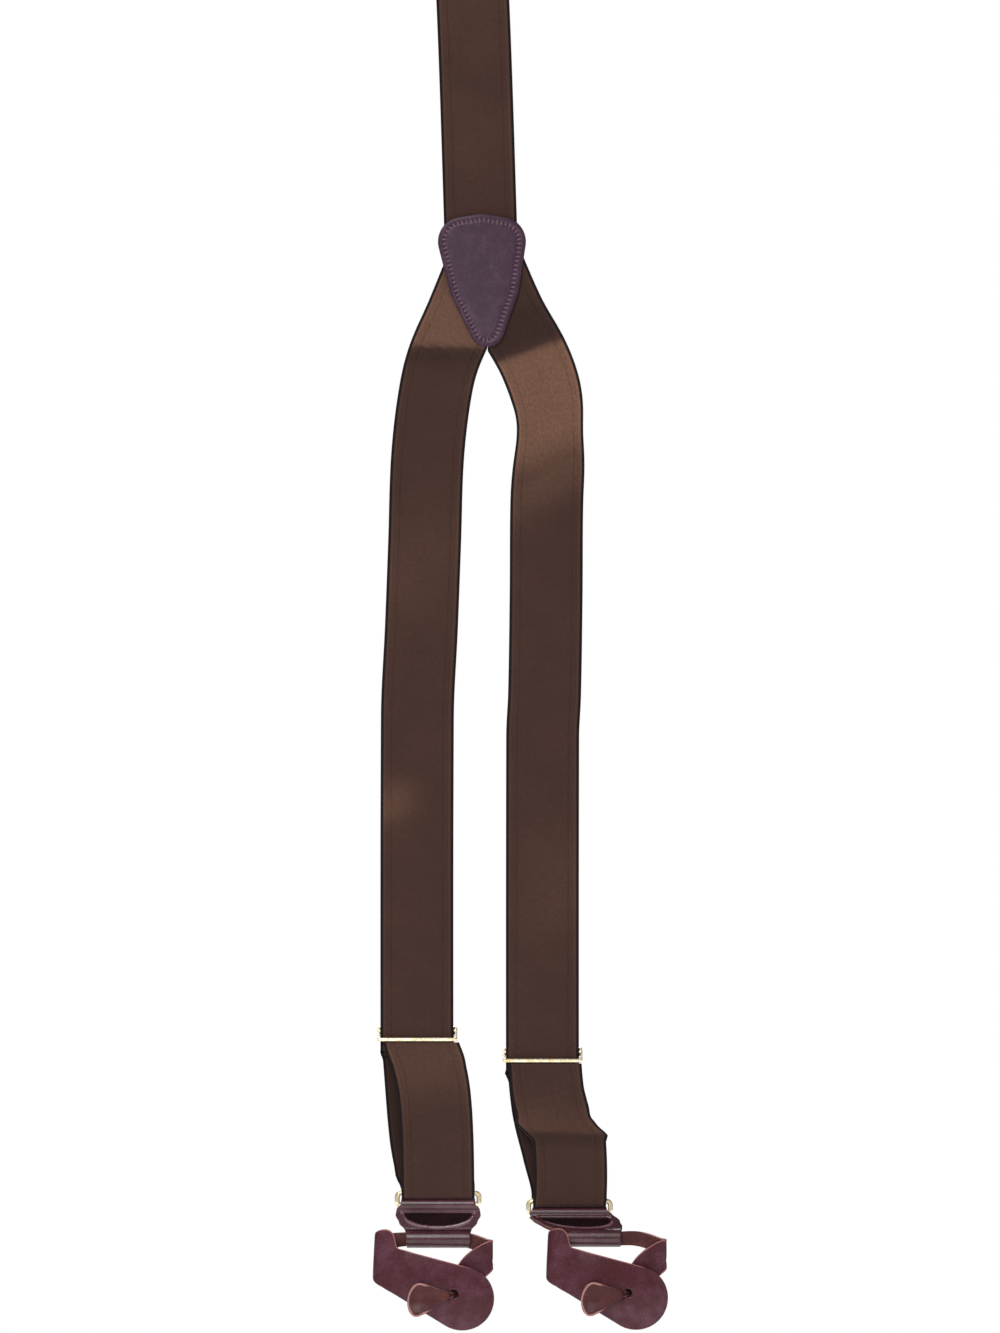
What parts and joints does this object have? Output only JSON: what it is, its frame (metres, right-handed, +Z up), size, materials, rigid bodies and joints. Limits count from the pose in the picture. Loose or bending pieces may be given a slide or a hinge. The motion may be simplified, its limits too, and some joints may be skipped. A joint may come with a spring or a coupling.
{
  "type": "suspenders",
  "caption": "Y-back elastic suspenders with a leather crosspatch, brass slide adjusters and leather button straps, hanging by the back strap from a round bar.",
  "frame": {"origin": "centre line of the display bar that the back strap hangs over, at the middle of the strap's width", "axes": "+X to the viewer's right along the bar, +Y from the front of the suspenders to the back, +Z up"},
  "size_m": [0.153, 0.0509, 0.8401],
  "materials": {
    "webbing": "woven elastic, matt",
    "leather": "smooth, soft sheen",
    "brass": "polished",
    "thread": "twisted thread"
  },
  "bodies": {
    "back_strap": {"back_strap_over_bar": "webbing", "back_strap_tail": "webbing", "back_strap_tail_stitching": "thread", "back_strap_front_run": "webbing"},
    "back_ring": {"back_ring": "brass"},
    "back_holder": {"back_holder": "leather", "back_holder_stitching": "thread"},
    "back_button_strap": {"back_button_strap": "leather"},
    "crosspatch": {"back_strap_end": "webbing", "crosspatch_front": "leather", "crosspatch_lining": "leather", "crosspatch_stitching": "thread", "left_strap_top": "webbing", "right_strap_top": "webbing"},
    "left_strap": {"left_strap_upper": "webbing", "left_strap_middle": "webbing"},
    "left_strap_lower": {"left_strap_lower": "webbing", "left_strap_in_adjuster": "webbing"},
    "left_adjuster": {"left_adjuster_frame": "brass", "left_adjuster_strap_end": "webbing", "left_adjuster_stitching": "thread"},
    "left_loop": {"left_loop_front": "webbing", "left_loop_back": "webbing", "left_loop_fold": "webbing"},
    "left_ring": {"left_ring": "brass"},
    "left_holder": {"left_holder": "leather", "left_holder_stitching": "thread"},
    "left_button_strap": {"left_button_strap": "leather"},
    "right_strap": {"right_strap_upper": "webbing", "right_strap_middle": "webbing"},
    "right_strap_lower": {"right_strap_lower": "webbing", "right_strap_in_adjuster": "webbing"},
    "right_adjuster": {"right_adjuster_frame": "brass", "right_adjuster_strap_end": "webbing", "right_adjuster_stitching": "thread"},
    "right_loop": {"right_loop_front": "webbing", "right_loop_back": "webbing", "right_loop_fold": "webbing"},
    "right_ring": {"right_ring": "brass"},
    "right_holder": {"right_holder": "leather", "right_holder_stitching": "thread"},
    "right_button_strap": {"right_button_strap": "leather"}
  },
  "joints": [
    {"name": "back_strap_stretch", "type": "slide", "parent": "back_strap", "child": "crosspatch", "axis": [0, 0, -1], "range_m": [0, 0.06], "stiffness_N_per_m": 300, "springref_m": -0.008, "deforming": ["back_strap_front_run"]},
    {"name": "back_ring_swing", "type": "hinge", "parent": "back_strap", "child": "back_ring", "pos_m": [0, 0.0111, -0.038], "axis": [1, 0, 0], "range_deg": [-5, 60]},
    {"name": "back_holder_swing", "type": "hinge", "parent": "back_ring", "child": "back_holder", "pos_m": [0, 0.0111, -0.0444], "axis": [1, 0, 0], "range_deg": [-5, 35]},
    {"name": "back_button_strap_slide", "type": "slide", "parent": "back_holder", "child": "back_button_strap", "axis": [-1, 0, 0], "range_m": [-0.006, 0.0058]},
    {"name": "left_strap_swing", "type": "hinge", "parent": "crosspatch", "child": "left_strap", "pos_m": [-0.0105, -0.0088, -0.325], "axis": [1, 0, 0], "range_deg": [-30, 30]},
    {"name": "left_strap_stretch", "type": "slide", "parent": "left_strap", "child": "left_strap_lower", "axis": [0, 0, -1], "range_m": [0, 0.06], "stiffness_N_per_m": 250, "springref_m": -0.004, "deforming": ["left_strap_middle"]},
    {"name": "left_adjuster_slide", "type": "slide", "parent": "left_strap_lower", "child": "left_adjuster", "axis": [0, 0, 1], "range_m": [-0.08, 0.13], "deforming": ["left_strap_in_adjuster"]},
    {"name": "left_loop_slide", "type": "slide", "parent": "left_adjuster", "child": "left_loop", "axis": [0, 0, 1], "range_m": [-0.066, 0.041], "deforming": ["left_loop_front", "left_loop_back"]},
    {"name": "left_ring_swing", "type": "hinge", "parent": "left_loop", "child": "left_ring", "pos_m": [-0.0133, -0.008, -0.7596], "axis": [1, 0, 0], "range_deg": [-45, 45]},
    {"name": "left_holder_swing", "type": "hinge", "parent": "left_ring", "child": "left_holder", "pos_m": [-0.0133, -0.008, -0.766], "axis": [1, 0, 0], "range_deg": [-35, 35]},
    {"name": "left_button_strap_slide", "type": "slide", "parent": "left_holder", "child": "left_button_strap", "axis": [1, 0, 0], "range_m": [0, 0.0118]},
    {"name": "right_strap_swing", "type": "hinge", "parent": "crosspatch", "child": "right_strap", "pos_m": [0.0365, -0.0088, -0.325], "axis": [1, 0, 0], "range_deg": [-30, 30]},
    {"name": "right_strap_stretch", "type": "slide", "parent": "right_strap", "child": "right_strap_lower", "axis": [0, 0, -1], "range_m": [0, 0.06], "stiffness_N_per_m": 250, "springref_m": -0.004, "deforming": ["right_strap_middle"]},
    {"name": "right_adjuster_slide", "type": "slide", "parent": "right_strap_lower", "child": "right_adjuster", "axis": [0, 0, 1], "range_m": [-0.08, 0.13], "deforming": ["right_strap_in_adjuster"]},
    {"name": "right_loop_slide", "type": "slide", "parent": "right_adjuster", "child": "right_loop", "axis": [0, 0, 1], "range_m": [-0.066, 0.041], "deforming": ["right_loop_front", "right_loop_back"]},
    {"name": "right_ring_swing", "type": "hinge", "parent": "right_loop", "child": "right_ring", "pos_m": [0.0551, -0.008, -0.7639], "axis": [1, 0, 0], "range_deg": [-45, 45]},
    {"name": "right_holder_swing", "type": "hinge", "parent": "right_ring", "child": "right_holder", "pos_m": [0.0551, -0.008, -0.7703], "axis": [1, 0, 0], "range_deg": [-2, 80]},
    {"name": "right_button_strap_slide", "type": "slide", "parent": "right_holder", "child": "right_button_strap", "axis": [1, 0, 0], "range_m": [-0.01, 0]}
  ],
  "couplings": [
    {"joint": "left_loop_slide", "follows": "left_adjuster_slide", "ratio": -0.5},
    {"joint": "right_loop_slide", "follows": "right_adjuster_slide", "ratio": -0.5}
  ]
}
